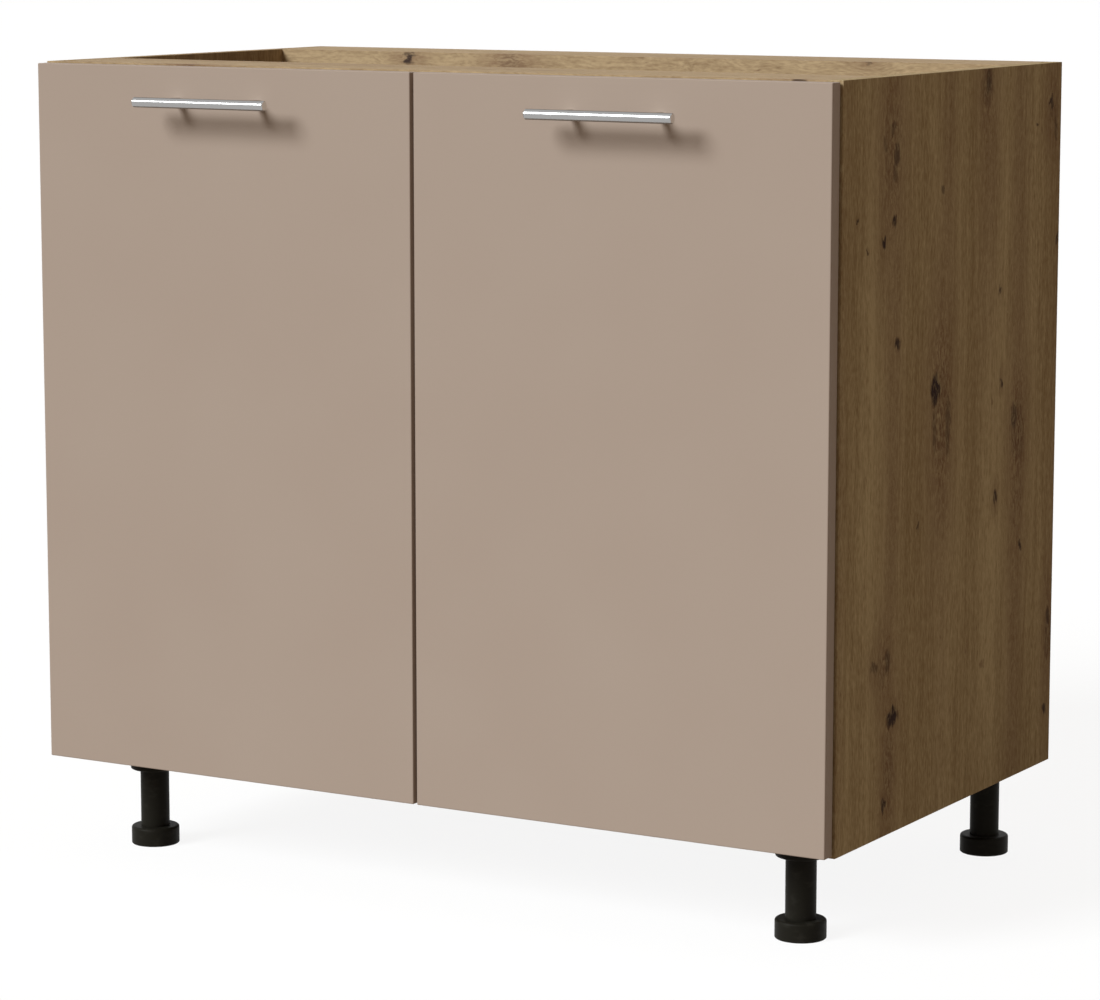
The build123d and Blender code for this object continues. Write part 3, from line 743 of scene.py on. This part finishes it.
def grow(name, tree, marks, sizes, finish):
    """A mesh piece from a geometry tree, at marks of place and facing."""
    mesh = bpy.data.meshes.new(name + "_marks")
    mesh.from_pydata([place for place, _ in marks], [], [])
    facing = mesh.attributes.new("facing", "FLOAT_VECTOR", "POINT")
    for row, (_, way) in zip(facing.data, marks):
        row.vector = way
    carrier = set_out(name + "_marks", mesh)
    modifier = carrier.modifiers.new(tree.name, "NODES")
    modifier.node_group = tree
    values = {**sizes, "Finish": finish.material}
    for port in tree.interface.items_tree:
        if port.in_out == "INPUT" and port.name in values:
            modifier[port.identifier] = values[port.name]
    drawn = carrier.evaluated_get(bpy.context.evaluated_depsgraph_get())
    grown = bpy.data.meshes.new_from_object(drawn)
    bpy.data.objects.remove(carrier)
    return set_out(name, grown)


def fit_screws(tree, finish, name, body, node, way, head_height, shank_radius):
    """Detailed screws in place of a node's plain ones, which are all alike."""
    marks = []
    for low, high in solids_of(node):
        middle = (low + high) / 2
        facing = faced(middle, way)
        size = high - low
        length = abs(size.dot(facing))
        marks.append((middle + facing * (length / 2 - head_height), facing))
    sizes = {
        "Head Radius": sorted(size)[1] / 2,
        "Head Height": head_height,
        "Shank Radius": shank_radius,
        "Shank Length": length - head_height,
    }
    piece = grow(name, tree, marks, sizes, finish)
    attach(piece, body)
    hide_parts(node)


def fit_cams(finish):
    """Cam locks with driver slots, their faces down."""
    boxes = solids_of("cam_locks")
    marks = [(((low.x + high.x) / 2, (low.y + high.y) / 2, low.z), (0, 0, -1)) for low, high in boxes]
    low, high = boxes[0]
    size = high - low
    cams = grow("cam_discs", cam_tree(), marks, {"Radius": size.y / 2, "Height": size.z}, finish)
    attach(cams, "cabinet")
    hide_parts("cam_locks")


def fit_fasteners(zinc, screw_steel):
    """Screws by name, body, node, way they look, head height and shank radius; then the cam locks."""
    tree = screw_tree()
    rows = [
        ("plate_screws", "cabinet", "hinge_plate_screws", "inwards", 0.0016, 0.003),
        ("arm_screws", "cabinet", "hinge_arm_screws", "inwards", 0.002, 0.0022),
        ("leg_screws", "cabinet", "leg_flange_screws", "downwards", 0.0016, 0.00175),
    ]
    for side in SIDES:
        body = side + "_door"
        rows.append(("cup_fixings_" + side, body, "cup_screws_" + side, "backwards", 0.0012, 0.00175))
        rows.append(("handle_fixings_" + side, body, "handle_screws_" + side, "backwards", 0.0024, 0.002))
    for row in rows:
        fit_screws(tree, screw_steel, *row)
    fit_cams(zinc)


def by_ray(wiring, falling, seen):
    """One shader for light that falls on things, another for what the eye sees, straight or mirrored."""
    path = wiring.add("ShaderNodeLightPath").outputs
    either = wiring.math("MAXIMUM", path["Is Camera Ray"], path["Is Glossy Ray"])
    eye = wiring.math("MAXIMUM", either, path["Is Transmission Ray"])
    return wiring.add("ShaderNodeMixShader", {0: eye, 1: falling, 2: seen}).outputs[0]


def lay_floor():
    """A wide pale floor that keeps a faint shadow, and lets feet wound out below it show."""
    half = FLOOR_HALF_WIDTH
    corners = [(-half, -half, 0), (half, -half, 0), (half, half, 0), (-half, half, 0)]
    mesh = bpy.data.meshes.new("floor")
    mesh.from_pydata(corners, [], [(0, 1, 2, 3)])
    floor = set_out("floor", mesh)
    material = bpy.data.materials.new("pale_floor")
    wiring = Wiring(blank_tree(material))
    clear = wiring.add("ShaderNodeBsdfTransparent", {"Color": FLOOR_CLEAR}).outputs[0]
    shaded = wiring.add("ShaderNodeBsdfDiffuse", {"Color": FLOOR_SHADED}).outputs[0]
    pale = wiring.add("ShaderNodeAddShader", {0: clear, 1: shaded}).outputs[0]
    bounce = wiring.add("ShaderNodeBsdfDiffuse", {"Color": FLOOR_BOUNCE}).outputs[0]
    wiring.add("ShaderNodeOutputMaterial", {"Surface": by_ray(wiring, bounce, pale)})
    mesh.materials.append(material)


def light_room():
    """A soft lamp from the upper left, a warm dim room and a white surround."""
    lamp = bpy.data.lights.new("lamp", "SUN")
    lamp.energy = LAMP_STRENGTH
    lamp.color = LAMP_COLOUR
    lamp.angle = LAMP_SPREAD
    holder = set_out("lamp", lamp)
    holder.rotation_euler = Vector(LAMP_FROM).to_track_quat("Z", "Y").to_euler()
    world = bpy.data.worlds.new("room")
    wiring = Wiring(blank_tree(world))
    dim = wiring.add("ShaderNodeBackground", {"Color": ROOM_GLOW}).outputs[0]
    white = wiring.add("ShaderNodeBackground", {"Color": SURROUND}).outputs[0]
    wiring.add("ShaderNodeOutputWorld", {"Surface": by_ray(wiring, dim, white)})
    bpy.context.scene.world = world


def set_camera():
    """The camera, a little above the cabinet and to its right."""
    camera = set_out("camera", bpy.data.cameras.new("camera"))
    camera.data.sensor_width = SENSOR_WIDTH
    camera.data.lens = LENS
    camera.location = (CAMERA_X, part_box("door_left")[0].y - CAMERA_BEFORE_DOORS, CAMERA_HEIGHT)
    camera.rotation_euler = (math.pi / 2 - CAMERA_TILT, 0.0, CAMERA_TURN)
    bpy.context.scene.camera = camera


bpy.context.scene.view_settings.view_transform = "Standard"
set_camera()
light_room()
lay_floor()
dress_boards()
fit_fasteners(*dress_fittings())
